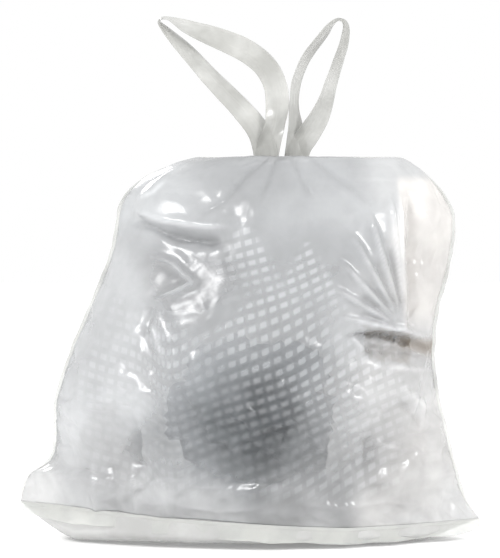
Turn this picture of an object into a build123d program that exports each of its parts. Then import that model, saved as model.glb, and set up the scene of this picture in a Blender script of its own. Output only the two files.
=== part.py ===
from build123d import *
from math import cos, pi, sin
import os

# A filled draw-tape refuse bag, closed and standing on its base, with its two tape loops
# pulled up out of the drawn neck. Millimetres, +Z up, +X to the right, front towards -Y.
# The origin is on the floor under the middle of the bag.
# Film and tape are far thinner in reality, so FILM and TAPE_THICK stand in for them.

FILM = 1.5                  # wall of the bag
BASE_Z = 0.0
SEAM_Z = 26.0               # height of the bottom seal along the front
TOP_Z = 484.0               # top of the puffed shoulders
GATHER_Z = 428.0            # the film is gathered above this height
OUTLINE_POINTS = 16

# The bag's cross-sections: height, left side, right side, front and back depth, and how
# pointed the two ends are.
SECTIONS = [
    (BASE_Z, -205, 225, 84, 84, 0.2),
    (SEAM_Z, -258, 272, 108, 108, 0.6),
    (90, -256, 262, 121, 121, 0.5),
    (176, -242, 238, 125, 125, 0.3),
    (250, -217, 228, 123, 123, 0.2),
    (315, -190, 238, 118, 118, 0.2),
    (365, -173, 250, 110, 110, 0.2),
    (412, -162, 252, 98, 98, 0.2),
    (445, -146, 234, 84, 84, 0.1),
    (470, -104, 208, 68, 68, 0.0),
    (TOP_Z, -56, 178, 52, 52, 0.0),
]

# Drawn neck: a flattened ring of gathered hem, standing in a valley between the shoulders.
NECK_X = 39.0
NECK_Z = 440.0              # floor of the valley
HEM_TOP = 480.0
HEM_SEAL_TOP = 445.0        # the weld that closes the hem is below this height
THROAT_LENGTH = 168.0       # clear inside of the ring
THROAT_WIDTH = 32.0
HEM_THICK = 4.0
VALLEY_MARGIN = 2.0
VALLEY_FLARE = 12.0

# Draw tape
TAPE_WIDTH = 30.0
TAPE_THICK = 1.2
POCKET_SIDE = 1.2           # film on each side of the tape in the hem
POCKET_FLOOR = 446.5
POCKET_PLAY = 0.2
WELD_REACH = 6.0            # length of the welded tape ends at the two sides of the ring
NOTCH_WIDTH = 36.0          # cut-out of the hem that the loop comes out of
NOTCH_FLOOR = 453.0

# Loops: each stands on a stem that slides up out of the neck, and bends at a crease.
LEFT_X = 20.0
RIGHT_X = 58.0
LOOP_Y = 10.8
CREASE_Z = 487.0
CREASE_RADIUS = 1.6
CREASE_GAP = 0.3
STEM_BOTTOM = 402.0
STEM_THICK = 2.6

SEAL_WIDTH = 5.0
SEAL_THICK = 1.4
SKIRT_BOTTOM = 1.0


def outline(z, left, right, front, back, pointed, inset=0.0):
    """One closed cross-section of the bag, drawn in by the inset."""
    points = []
    for i in range(OUTLINE_POINTS):
        turn = 2 * pi * i / OUTLINE_POINTS
        across, along = sin(turn), cos(turn)
        depth = (back if across > 0 else front) - inset
        half = (right - left) / 2 - inset
        points.append(((left + right) / 2 + half * along, depth * across * abs(across) ** pointed, z))
    return Face(Wire(Spline(*points, periodic=True)))


def bag_volume(inset):
    """The bag's outer volume, or its cavity when there is an inset."""
    faces = []
    for z, *sizes in SECTIONS:
        height = min(max(z, BASE_Z + inset), TOP_Z - inset)
        faces.append(outline(height, *sizes, inset=inset))
    return loft(faces)


def slot(length, width, z):
    """A flat stadium centred on the neck."""
    return Pos(NECK_X, 0, z) * SlotOverall(length, width)


def slot_block(length, width, bottom, top):
    return extrude(slot(length, width, bottom), top - bottom)


def valley(margin):
    """The hollow between the shoulders that the drawn neck stands in."""
    length = THROAT_LENGTH + 2 * (HEM_THICK + VALLEY_MARGIN + margin)
    width = THROAT_WIDTH + 2 * (HEM_THICK + VALLEY_MARGIN + margin)
    floor = slot(length, width, NECK_Z - margin)
    rim = slot(length + 2 * VALLEY_FLARE, width + 2 * VALLEY_FLARE, TOP_Z + FILM)
    return loft([floor, rim])


def block(x0, x1, y0, y1, z0, z1):
    return Pos((x0 + x1) / 2, (y0 + y1) / 2, (z0 + z1) / 2) * Box(x1 - x0, y1 - y0, z1 - z0)


FAR = 400.0
FRONT_HALF = block(-FAR, FAR, -FAR, 0, -FAR, 2 * FAR)
BACK_HALF = block(-FAR, FAR, 0, FAR, -FAR, 2 * FAR)


def panels(outer, cavity):
    """The film walls. The back panel also makes the whole underside.

    Above GATHER_Z each wall is a node of its own: the puffed shoulder and the valley.
    """
    throat = slot_block(THROAT_LENGTH, THROAT_WIDTH, NECK_Z - 2 * FILM, NECK_Z + FILM)
    film = outer - valley(0) - (cavity - valley(FILM)) - throat
    upper = film & block(-FAR, FAR, -FAR, FAR, GATHER_Z, 2 * FAR)
    lower = film - block(-FAR, FAR, -FAR, FAR, GATHER_Z, 2 * FAR)
    front_region = block(-FAR, FAR, -FAR, 0, SEAM_Z, 2 * FAR)
    return {
        "front_panel": lower & front_region,
        "back_panel": lower - front_region,
        "front_neck_gathers": upper & FRONT_HALF,
        "back_neck_gathers": upper & BACK_HALF,
    }


def side_seal(outer, side):
    """The welded edge between the two panels, from the bottom corner to the shoulder."""
    edge = [(row[1] if side < 0 else row[2], row[0]) for row in SECTIONS[1:-1]]
    outside = [(x + side * SEAL_WIDTH, z) for x, z in edge]
    inside = [(x - side * 2 * SEAL_WIDTH, z) for x, z in edge]
    wire = Wire([
        Spline(*outside).edge(),
        Line(outside[-1], inside[-1]).edge(),
        Spline(*reversed(inside)).edge(),
        Line(inside[0], outside[0]).edge(),
    ])
    strip = extrude(Plane.XZ * Face(wire), SEAL_THICK / 2, both=True)
    return strip - outer


def bottom_seal(outer, side_seals):
    """The skirt below the bottom weld, with a pointed ear at each corner."""
    sizes = SECTIONS[1][1:]
    rim = outline(SKIRT_BOTTOM, *sizes, inset=-FILM) - outline(SKIRT_BOTTOM, *sizes)
    skirt = extrude(rim, SEAM_Z - SKIRT_BOTTOM, dir=(0, 0, 1)) & FRONT_HALF
    left, right = sizes[0], sizes[1]
    left_ear = Polygon((left - 1, 6), (-292, 44), (left - 1, 60), align=None)
    right_ear = Polygon((right + 1, 2), (292, 23), (right + 1, 48), align=None)
    ears = extrude(Plane.XZ * (left_ear + right_ear), SEAL_THICK / 2, both=True)
    ears = ears - block(left, right, -FAR, FAR, -FAR, FAR)
    seal = skirt + (ears - outer)
    for strip in side_seals:
        seal = seal - strip
    return seal - outer


def hem_ring(bottom, top):
    outer = slot_block(THROAT_LENGTH + 2 * HEM_THICK, THROAT_WIDTH + 2 * HEM_THICK, bottom, top)
    return outer - slot_block(THROAT_LENGTH, THROAT_WIDTH, bottom, top)


def tape_ring(side_film, bottom, top):
    """The band between the two film layers of the hem, with this much film on each side."""
    reach = 2 * (HEM_THICK - side_film)
    inner = 2 * side_film
    outer_block = slot_block(THROAT_LENGTH + reach, THROAT_WIDTH + reach, bottom, top)
    return outer_block - slot_block(THROAT_LENGTH + inner, THROAT_WIDTH + inner, bottom, top)


def notch(x):
    return block(x - NOTCH_WIDTH / 2, x + NOTCH_WIDTH / 2, -FAR, FAR, NOTCH_FLOOR, HEM_TOP + FILM)


def hem(half, notch_x):
    """The folded tape channel of one panel, with its pocket and its cut-out."""
    pocket = tape_ring(POCKET_SIDE, POCKET_FLOOR, POCKET_FLOOR + TAPE_WIDTH + 2 * POCKET_PLAY)
    return (hem_ring(HEM_SEAL_TOP, HEM_TOP) - pocket - notch(notch_x)) & half


def tape_runs(half, notch_x):
    """The two stretches of tape left in the hem, on either side of its cut-out."""
    bottom = POCKET_FLOOR + POCKET_PLAY
    run = tape_ring(POCKET_SIDE + POCKET_PLAY, bottom, bottom + TAPE_WIDTH) & half
    reach = THROAT_LENGTH / 2 - WELD_REACH
    cut_left, cut_right = notch_x - NOTCH_WIDTH / 2, notch_x + NOTCH_WIDTH / 2
    left = run & block(NECK_X - reach, cut_left, -FAR, FAR, 0, FAR * 2)
    right = run & block(cut_right, NECK_X + reach, -FAR, FAR, 0, FAR * 2)
    return left, right


def tape_weld(side):
    """The two tapes' ends, welded together in the side of the ring."""
    bottom = POCKET_FLOOR + POCKET_PLAY
    ring = tape_ring(POCKET_SIDE + POCKET_PLAY, bottom, bottom + TAPE_WIDTH)
    reach = THROAT_LENGTH / 2 - WELD_REACH
    near, far = sorted((NECK_X + side * reach, NECK_X + side * FAR))
    return ring & block(near, far, -FAR, FAR, 0, FAR * 2)


def ribbon(stations):
    """A flat tape through stations of (centre, half-width direction), as flat facets.

    Its two faces are split along the same diagonal, so that a twist keeps them apart.
    """
    centres = [Vector(*centre) for centre, _ in stations]
    rings = []
    for i, (_, across) in enumerate(stations):
        ahead = centres[min(i + 1, len(centres) - 1)] - centres[max(i - 1, 0)]
        side = Vector(*across).normalized() * (TAPE_WIDTH / 2)
        out = ahead.cross(side).normalized() * (TAPE_THICK / 2)
        corners = [centres[i] + side + out, centres[i] - side + out]
        corners += [centres[i] - side - out, centres[i] + side - out]
        rings.append(corners)
    triangles = []
    for near, far in zip(rings, rings[1:]):
        for k in range(4):
            after = (k + 1) % 4
            if k < 2:
                triangles.append((near[k], near[after], far[after]))
                triangles.append((near[k], far[after], far[k]))
            else:
                triangles.append((near[k], near[after], far[k]))
                triangles.append((near[after], far[after], far[k]))
    for a, b, c, d in (reversed(rings[0]), rings[-1]):
        triangles.append((a, b, c))
        triangles.append((a, c, d))
    return Solid(Shell([Face(Wire.make_polygon(t, close=True)) for t in triangles]))


def crease_bar(x, y):
    """The rounded foot of a loop, on the line that it bends about."""
    return Pos(x, y, CREASE_Z) * Rot(0, 90, 0) * Cylinder(CREASE_RADIUS, TAPE_WIDTH)


def left_loop():
    """The front tape's loop: a wide slanting loop that leans to the left."""
    y = -LOOP_Y
    stations = [
        ((LEFT_X, y - 0.8, CREASE_Z), (1, 0, 0)),
        ((14, y - 1.5, 510), (0.95, 0.10, 0.25)),
        ((-8, y - 2, 540), (0.72, 0.45, 0.52)),
        ((-42, y - 2, 577), (0.60, 0.64, 0.48)),
        ((-82, y - 1, 622), (0.45, 0.80, 0.36)),
        ((-104, y - 1, 644), (0.25, 0.94, 0.20)),
        ((-112, y - 1, 653), (0.04, 1.00, 0.10)),
        ((-100, y - 1, 652), (0.02, 0.98, 0.20)),
        ((-80, y - 1, 645), (0.20, 0.82, 0.54)),
        ((-42, y, 631), (0.30, 0.50, 0.82)),
        ((0, y + 1, 613), (0.42, 0.20, 0.88)),
        ((24, y + 2, 590), (0.80, 0.20, 0.56)),
        ((33, y + 2, 560), (0.98, 0.15, 0.05)),
        ((28, y + 1.5, 520), (0.95, 0.25, -0.12)),
        ((LEFT_X, y + 0.8, CREASE_Z), (1, 0, 0)),
    ]
    return ribbon(stations) + crease_bar(LEFT_X, y)


def right_loop():
    """The back tape's loop: a narrow upright loop, seen more on its edge."""
    y = LOOP_Y
    stations = [
        ((RIGHT_X, y - 0.8, CREASE_Z), (1, 0, 0)),
        ((59, y - 1.2, 512), (0.80, 0.60, 0.02)),
        ((57, y - 1, 540), (0.40, 0.92, 0.02)),
        ((58, y, 575), (0.20, 0.98, -0.06)),
        ((74, y, 611), (0.20, 0.97, -0.12)),
        ((100, y, 641), (0.15, 0.98, -0.14)),
        ((113, y, 652), (0.05, 1.00, -0.02)),
        ((117, y, 644), (0.20, 0.97, 0.04)),
        ((110, y, 615), (0.40, 0.90, -0.10)),
        ((102, y, 578), (0.50, 0.86, -0.15)),
        ((90, y + 1, 543), (0.72, 0.60, -0.30)),
        ((74, y + 1.4, 514), (0.90, 0.20, -0.36)),
        ((RIGHT_X, y + 0.8, CREASE_Z), (1, 0, 0)),
    ]
    return ribbon(stations) + crease_bar(RIGHT_X, y)


def loop_stem(x, y):
    """The doubled tape that runs up out of the neck to the crease."""
    top = CREASE_Z - CREASE_RADIUS - CREASE_GAP
    half = TAPE_WIDTH / 2
    return block(x - half, x + half, y - STEM_THICK / 2, y + STEM_THICK / 2, STEM_BOTTOM, top)


def wad(x, y, z, rx, ry, rz):
    """A crumpled bundle, as an ellipsoid."""
    return Pos(x, y, z) * scale(Sphere(1), by=(rx, ry, rz))


def contents():
    """What fills the bag."""
    card = Pos(172, -22, 247) * Rot(0, -12, -30) * Box(64, 3, 42)
    carton = Pos(10, 74, 128) * Rot(0, 6, 3) * Box(190, 44, 140)
    return {
        "dark_bundle": wad(5, -36, 168, 128, 76, 106),
        "left_paper_wad": wad(-176, -4, 108, 46, 46, 76),
        "right_paper_wad": wad(184, -4, 106, 48, 48, 74),
        "upper_left_wad": wad(-78, 0, 342, 70, 66, 62),
        "upper_right_wad": wad(158, 6, 342, 62, 66, 62),
        "brown_card": card,
        "carton": carton,
    }


def build():
    outer = bag_volume(0)
    cavity = bag_volume(FILM)
    left_seal, right_seal = side_seal(outer, -1), side_seal(outer, 1)
    front_left_run, front_right_run = tape_runs(FRONT_HALF, LEFT_X)
    back_left_run, back_right_run = tape_runs(BACK_HALF, RIGHT_X)
    nodes = panels(outer, cavity)
    nodes.update({
        "left_side_seal": left_seal,
        "right_side_seal": right_seal,
        "bottom_seal": bottom_seal(outer, (left_seal, right_seal)),
        "front_hem": hem(FRONT_HALF, LEFT_X),
        "back_hem": hem(BACK_HALF, RIGHT_X),
        "front_hem_seal": hem_ring(NECK_Z, HEM_SEAL_TOP) & FRONT_HALF,
        "back_hem_seal": hem_ring(NECK_Z, HEM_SEAL_TOP) & BACK_HALF,
        "front_tape_left_run": front_left_run,
        "front_tape_right_run": front_right_run,
        "back_tape_left_run": back_left_run,
        "back_tape_right_run": back_right_run,
        "left_tape_weld": tape_weld(-1),
        "right_tape_weld": tape_weld(1),
        "left_loop_stem": loop_stem(LEFT_X, -LOOP_Y),
        "right_loop_stem": loop_stem(RIGHT_X, LOOP_Y),
        "left_loop": left_loop(),
        "right_loop": right_loop(),
    })
    nodes.update(contents())
    return nodes


os.makedirs("parts", exist_ok=True)
for name, shape in build().items():
    export_step(shape, f"parts/{name}.step")
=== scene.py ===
import bmesh
import bpy
import math
import numpy as np
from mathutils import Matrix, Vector, noise


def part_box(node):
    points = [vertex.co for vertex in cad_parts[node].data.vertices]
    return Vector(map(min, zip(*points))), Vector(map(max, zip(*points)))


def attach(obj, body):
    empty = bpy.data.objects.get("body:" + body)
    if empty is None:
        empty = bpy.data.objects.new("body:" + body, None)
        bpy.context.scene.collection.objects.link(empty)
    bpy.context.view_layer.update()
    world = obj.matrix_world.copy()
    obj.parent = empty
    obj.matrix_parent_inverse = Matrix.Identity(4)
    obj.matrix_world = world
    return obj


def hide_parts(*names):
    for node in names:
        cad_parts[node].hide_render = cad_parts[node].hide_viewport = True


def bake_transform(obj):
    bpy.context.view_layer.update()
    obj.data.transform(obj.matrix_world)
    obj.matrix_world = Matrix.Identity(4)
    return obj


# A full, translucent draw-tape refuse bag, drawn shut. Metres, in the CAD model's frame:
# +Z up, +X right, the front faces -Y, the floor is at z 0.

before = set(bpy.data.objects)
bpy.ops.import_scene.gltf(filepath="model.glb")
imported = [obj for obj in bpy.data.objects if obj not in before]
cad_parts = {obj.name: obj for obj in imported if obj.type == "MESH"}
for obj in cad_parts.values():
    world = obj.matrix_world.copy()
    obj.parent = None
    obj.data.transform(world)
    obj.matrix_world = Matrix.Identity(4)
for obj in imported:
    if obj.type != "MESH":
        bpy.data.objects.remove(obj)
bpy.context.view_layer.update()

FILM_THICK = 0.0004
TAPE_WIDTH = 0.030
TAPE_THICK = 0.0003
SKIRT_HEIGHT = 0.021        # of the film below the bottom weld
PANEL_COLUMNS = 120
PANEL_STEP = 0.0048         # between the rows of a panel's mesh
SEAM_Z = 0.026
EAR_X = 0.290               # the foot's two corners
NECK = Vector((0.039, 0.0, 0.4415))
RING_LENGTH = 0.088         # half the neck ring's length
RING_WIDTH = 0.0205         # and half its width
RING_STEPS = 221
LEFT_X = 0.020              # the two cut-outs that the loops come out of
RIGHT_X = 0.058
LOOP_Y = 0.0108
NOTCH_HALF = 0.018          # half the width of a cut-out
HINGE_FROM_Z = 0.481        # each tape bends between these heights
HINGE_TO_Z = 0.501

# Height, left and right sides, front depth, back depth, pointedness of the two ends.
BODY = [
    (0.026, -0.290, 0.290, 0.106, 0.108, 1.00),
    (0.044, -0.286, 0.275, 0.113, 0.115, 0.85),
    (0.066, -0.277, 0.264, 0.117, 0.118, 0.70),
    (0.086, -0.252, 0.259, 0.119, 0.121, 0.50),
    (0.110, -0.245, 0.252, 0.121, 0.122, 0.45),
    (0.145, -0.244, 0.244, 0.122, 0.123, 0.35),
    (0.180, -0.242, 0.235, 0.123, 0.124, 0.30),
    (0.235, -0.224, 0.229, 0.120, 0.123, 0.25),
    (0.285, -0.203, 0.233, 0.117, 0.120, 0.20),
    (0.330, -0.184, 0.244, 0.112, 0.115, 0.20),
    (0.370, -0.170, 0.252, 0.106, 0.108, 0.20),
    (0.405, -0.164, 0.254, 0.098, 0.100, 0.20),
    (0.430, -0.157, 0.244, 0.089, 0.090, 0.15),
    (0.455, -0.134, 0.226, 0.078, 0.078, 0.10),
    (0.473, -0.098, 0.206, 0.066, 0.066, 0.05),
    (0.482, -0.068, 0.188, 0.054, 0.054, 0.0),
    (0.480, -0.060, 0.160, 0.042, 0.042, 0.0),
    (0.466, -0.055, 0.140, 0.030, 0.030, 0.0),
    (0.450, -0.051, 0.129, 0.022, 0.022, 0.0),
    (0.4415, -0.049, 0.127, 0.0205, 0.0205, 0.0),
]
FOOT_LIFT = 0.022           # how far the left corner of the foot is pulled up


def lift_foot(points):
    """Raises the left part of the foot: the bottom weld climbs towards that corner."""
    x, z = points[..., 0], points[..., 2]
    share = np.clip((0.12 - x) / 0.36, 0, 1)
    fade = np.clip(1 - (z - 0.030) / 0.15, 0, 1) * np.clip(z / SEAM_Z, 0, 1) ** 2
    lifted = points.copy()
    lifted[..., 2] = z + FOOT_LIFT * share * fade
    return lifted


def smooth_curve(rows, steps):
    """A smooth curve through every row, with so many samples between one row and the next."""
    padded = np.vstack([2 * rows[0] - rows[1], rows, 2 * rows[-1] - rows[-2]])
    samples = []
    for i in range(len(rows) - 1):
        a, b, c, d = padded[i:i + 4]
        for t in np.linspace(0, 1, steps, endpoint=False):
            cubic = (-a + 3 * b - 3 * c + d) * t ** 3 + (2 * a - 5 * b + 4 * c - d) * t ** 2
            samples.append(0.5 * (2 * b + (c - a) * t + cubic))
    samples.append(rows[-1])
    return np.array(samples)


def smooth_rows(rows, step):
    """A smooth curve through the rows, sampled evenly along height and front depth."""
    samples = smooth_curve(np.array(rows), 60)
    moved = np.linalg.norm(np.diff(samples[:, [0, 3]], axis=0), axis=1)
    along = np.concatenate([[0], np.cumsum(moved)])
    wanted = np.linspace(0, along[-1], max(4, int(along[-1] / step)))
    return np.stack([np.interp(wanted, along, samples[:, k]) for k in range(samples.shape[1])], 1)


def ring_line(row, side):
    """Half of one cross-section, from the left seam to the right one. side is -1 at the front."""
    z, left, right, front, back, pointed = row
    turn = np.linspace(0, math.pi, PANEL_COLUMNS + 1)
    depth = front if side < 0 else back
    x = (left + right) / 2 - (right - left) / 2 * np.cos(turn)
    y = side * depth * np.sin(turn) ** (1 + pointed)
    return np.stack([x, y, np.full_like(x, z)], 1)


def ridge_noise(p, scale, seed):
    """Sharp ridges between soft hollows, from 0 to 1."""
    return 1 - abs(noise.noise(Vector(p) * scale + Vector((seed, seed * 0.7, seed * 1.3)))) * 2


def soft_noise(p, scale, seed):
    return noise.noise(Vector(p) * scale + Vector((seed, -seed, seed * 0.5)))


def place_mesh(name, mesh):
    thing = bpy.data.objects.new(name, mesh)
    bpy.context.scene.collection.objects.link(thing)
    return thing


def mesh_from(name, shape):
    """A piece from a bmesh, which is freed."""
    mesh = bpy.data.meshes.new(name)
    shape.to_mesh(mesh)
    shape.free()
    return place_mesh(name, mesh)


def grid_mesh(name, grid):
    """A mesh from rows x columns of points, with a metre-true UV map of the flat film."""
    rows, columns = grid.shape[:2]
    mesh = bpy.data.meshes.new(name)
    faces = []
    for j in range(rows - 1):
        for i in range(columns - 1):
            first = j * columns + i
            faces.append((first, first + 1, first + columns + 1, first + columns))
    mesh.from_pydata([tuple(p) for p in grid.reshape(-1, 3)], [], faces)
    across = np.linalg.norm(np.diff(grid, axis=1), axis=2)
    across = np.concatenate([np.zeros((rows, 1)), np.cumsum(across, axis=1)], axis=1)
    across -= across[:, -1:] / 2
    up = np.linalg.norm(np.diff(grid, axis=0), axis=2).mean(axis=1)
    up = np.concatenate([[0], np.cumsum(up)])
    layer = mesh.uv_layers.new(name="film")
    for loop in mesh.loops:
        j, i = divmod(loop.vertex_index, columns)
        layer.data[loop.index].uv = (across[j, i], up[j])
    mesh.validate()
    for face in mesh.polygons:
        face.use_smooth = True
    return place_mesh(name, mesh)


def apply_modifiers(thing):
    depsgraph = bpy.context.evaluated_depsgraph_get()
    mesh = bpy.data.meshes.new_from_object(thing.evaluated_get(depsgraph))
    old = thing.data
    thing.modifiers.clear()
    thing.data = mesh
    bpy.data.meshes.remove(old)


def subdivide(thing, levels=1):
    modifier = thing.modifiers.new("smooth", "SUBSURF")
    modifier.levels = levels
    modifier.render_levels = levels
    apply_modifiers(thing)


def thicken(thing, thickness):
    modifier = thing.modifiers.new("thickness", "SOLIDIFY")
    modifier.thickness = thickness
    modifier.offset = 0
    apply_modifiers(thing)


def points_of(thing):
    flat = np.empty(len(thing.data.vertices) * 3)
    thing.data.vertices.foreach_get("co", flat)
    return flat.reshape(-1, 3)


def normals_of(thing):
    flat = np.empty(len(thing.data.vertices) * 3)
    thing.data.vertices.foreach_get("normal", flat)
    return flat.reshape(-1, 3)


def set_points(thing, points):
    thing.data.vertices.foreach_set("co", points.reshape(-1))
    thing.data.update()


def store(thing, name, kind, field, values):
    """Writes one value for each point, as an attribute that the materials read."""
    layer = thing.data.attributes.new(name, kind, "POINT")
    layer.data.foreach_set(field, values.reshape(-1).astype(np.float32))


# ---------------------------------------------------------------- film folds

# Folds of the front panel in (x, z): points, half width, height (inwards when negative).
FRONT_FOLDS = [
    ([(-0.162, 0.398), (-0.132, 0.400), (-0.095, 0.386), (-0.062, 0.381), (-0.032, 0.380)],
     0.0060, -0.0110),
    ([(-0.150, 0.420), (-0.105, 0.404), (-0.055, 0.398), (-0.022, 0.399)], 0.0110, 0.0060),
    ([(-0.130, 0.366), (-0.096, 0.352), (-0.072, 0.330), (-0.094, 0.318), (-0.118, 0.308)], 0.0038, 0.0060),
    ([(-0.122, 0.300), (-0.124, 0.285), (-0.128, 0.262)], 0.0060, -0.0050),
    ([(-0.122, 0.282), (-0.113, 0.258), (-0.106, 0.232)], 0.0060, 0.0055),
    ([(0.120, 0.262), (0.160, 0.263), (0.196, 0.254), (0.229, 0.243)], 0.0052, -0.0130),
    ([(0.150, 0.274), (0.185, 0.270), (0.226, 0.256)], 0.0045, 0.0070),
    ([(0.122, 0.268), (0.132, 0.257), (0.140, 0.244)], 0.0032, 0.0055),
    ([(0.191, 0.266), (0.190, 0.320), (0.187, 0.380), (0.185, 0.440)], 0.0040, 0.0070),
    ([(0.202, 0.262), (0.204, 0.330), (0.203, 0.390), (0.198, 0.440)], 0.0080, -0.0100),
    ([(0.140, 0.250), (0.180, 0.243), (0.226, 0.236)], 0.0085, -0.0100),
    ([(0.150, 0.226), (0.190, 0.222), (0.230, 0.214)], 0.0060, 0.0040),
    ([(0.186, 0.202), (0.206, 0.184), (0.228, 0.164)], 0.0045, 0.0050),
    ([(0.176, 0.186), (0.198, 0.168), (0.214, 0.150)], 0.0045, -0.0040),
    ([(0.152, 0.134), (0.170, 0.127), (0.188, 0.122)], 0.0040, 0.0045),
    ([(-0.262, 0.098), (-0.246, 0.078), (-0.236, 0.056)], 0.0036, 0.0045),
    ([(-0.232, 0.100), (-0.236, 0.078), (-0.244, 0.050)], 0.0050, -0.0035),
    ([(-0.196, 0.108), (-0.194, 0.070), (-0.190, 0.036)], 0.0052, 0.0030),
    ([(-0.170, 0.112), (-0.166, 0.072), (-0.164, 0.034)], 0.0052, -0.0030),
    ([(-0.146, 0.104), (-0.142, 0.070), (-0.140, 0.036)], 0.0052, 0.0028),
    ([(0.060, 0.060), (0.110, 0.052), (0.170, 0.058), (0.230, 0.046)], 0.0060, 0.0026),
    ([(-0.100, 0.060), (-0.040, 0.048), (0.020, 0.056)], 0.0060, 0.0022),
    ([(0.025, 0.482), (-0.004, 0.460), (-0.030, 0.430), (-0.060, 0.412)], 0.0050, -0.0030),
    ([(0.032, 0.482), (0.022, 0.452), (0.010, 0.425)], 0.0045, -0.0024),
    ([(0.052, 0.482), (0.062, 0.456), (0.078, 0.430)], 0.0045, -0.0024),
    ([(0.075, 0.482), (0.100, 0.462), (0.130, 0.440), (0.150, 0.424)], 0.0050, -0.0030),
    ([(-0.100, 0.460), (-0.120, 0.440), (-0.140, 0.432)], 0.0050, 0.0040),
]

# Tension folds that fan out from the pinch at the right edge: angle and length.
PINCH = (0.191, 0.270)
FAN = [(168, 0.085), (158, 0.060), (149, 0.105), (141, 0.070), (133, 0.120), (126, 0.080),
       (119, 0.135), (113, 0.095), (107, 0.150), (101, 0.110), (96, 0.165)]
for number, (angle, reach) in enumerate(FAN):
    turn = math.radians(angle)
    far = (PINCH[0] + reach * math.cos(turn), PINCH[1] + reach * math.sin(turn))
    near = (PINCH[0] + 0.12 * (far[0] - PINCH[0]), PINCH[1] + 0.12 * (far[1] - PINCH[1]))
    FRONT_FOLDS.append(([near, far], 0.0030, 0.0056 if number % 2 == 0 else -0.0036))

# Folds of the back panel, written in the same way.
BACK_FOLDS = [
    ([(0.020, 0.478), (-0.020, 0.440), (-0.080, 0.390), (-0.120, 0.330)], 0.0060, 0.0060),
    ([(0.040, 0.478), (0.030, 0.420), (0.010, 0.360)], 0.0050, -0.0050),
    ([(0.070, 0.478), (0.110, 0.430), (0.160, 0.370), (0.180, 0.310)], 0.0060, 0.0060),
    ([(-0.170, 0.300), (-0.120, 0.270), (-0.060, 0.260)], 0.0060, -0.0060),
    ([(-0.200, 0.200), (-0.130, 0.190), (-0.060, 0.160)], 0.0070, 0.0060),
    ([(0.210, 0.280), (0.150, 0.260), (0.080, 0.270)], 0.0060, 0.0060),
    ([(0.210, 0.200), (0.140, 0.170), (0.060, 0.120)], 0.0070, -0.0060),
    ([(-0.240, 0.060), (-0.170, 0.100), (-0.100, 0.120)], 0.0060, 0.0050),
    ([(0.250, 0.060), (0.180, 0.090), (0.100, 0.100)], 0.0060, 0.0050),
    ([(-0.030, 0.300), (0.030, 0.240), (0.040, 0.160), (0.000, 0.090)], 0.0060, 0.0050),
]

# Broad swells of the front panel: x, z, radius, height.
FRONT_SWELLS = [
    (-0.110, 0.430, 0.045, 0.010),
    (-0.075, 0.360, 0.050, -0.006),
    (0.030, 0.430, 0.070, 0.006),
    (0.060, 0.330, 0.060, -0.004),
    (-0.010, 0.180, 0.090, 0.006),
    (-0.175, 0.220, 0.050, 0.005),
    (0.165, 0.170, 0.045, 0.006),
    (0.228, 0.360, 0.030, -0.012),
    (-0.190, 0.120, 0.040, 0.004),
]


def distance_to_line(x, z, line):
    """Distance to the line, and how far along it the nearest point is, from 0 to 1."""
    best = np.full(len(x), 9.0)
    share = np.zeros(len(x))
    pairs = list(zip(line, line[1:]))
    for n, ((x0, z0), (x1, z1)) in enumerate(pairs):
        dx, dz = x1 - x0, z1 - z0
        t = np.clip(((x - x0) * dx + (z - z0) * dz) / (dx * dx + dz * dz), 0, 1)
        away = np.hypot(x - x0 - t * dx, z - z0 - t * dz)
        nearer = away < best
        best = np.where(nearer, away, best)
        share = np.where(nearer, (n + t) / len(pairs), share)
    return best, share


FOLD_GAIN = 1.35
FOLD_SHARPNESS = 1.15       # 2 is a round fold, and 1 has a crease at its top


def fold_height(x, z, folds, swells):
    """How far the folds and swells lift the film at each point."""
    height = np.zeros(len(x))
    for line, half_width, lift in folds:
        away, share = distance_to_line(x, z, line)
        ends = np.clip(np.minimum(share, 1 - share) * 6 + 0.15, 0, 1)
        height += FOLD_GAIN * lift * ends * np.exp(-np.abs(away / half_width) ** FOLD_SHARPNESS)
    for sx, sz, radius, lift in swells:
        height += lift * np.exp(-((x - sx) ** 2 + (z - sz) ** 2) / radius ** 2)
    return height


def crumple(points, seed):
    """Irregular crisp crumples, in metres."""
    out = np.empty(len(points))
    for i, p in enumerate(points):
        warp = soft_noise(p, 9, seed) * 0.03
        q = (p[0] + warp, p[1], p[2] - warp)
        wide = ridge_noise((q[0], q[1], q[2] * 0.7), 11, seed + 3)
        fine = ridge_noise(q, 27, seed + 11)
        out[i] = 0.0034 * (wide - 0.5) + 0.0007 * (fine - 0.5)
    return out


CLOTH_FRAMES = 22
CLOTH_LIMIT = 0.008         # the cloth run moves no point further than this


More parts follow.
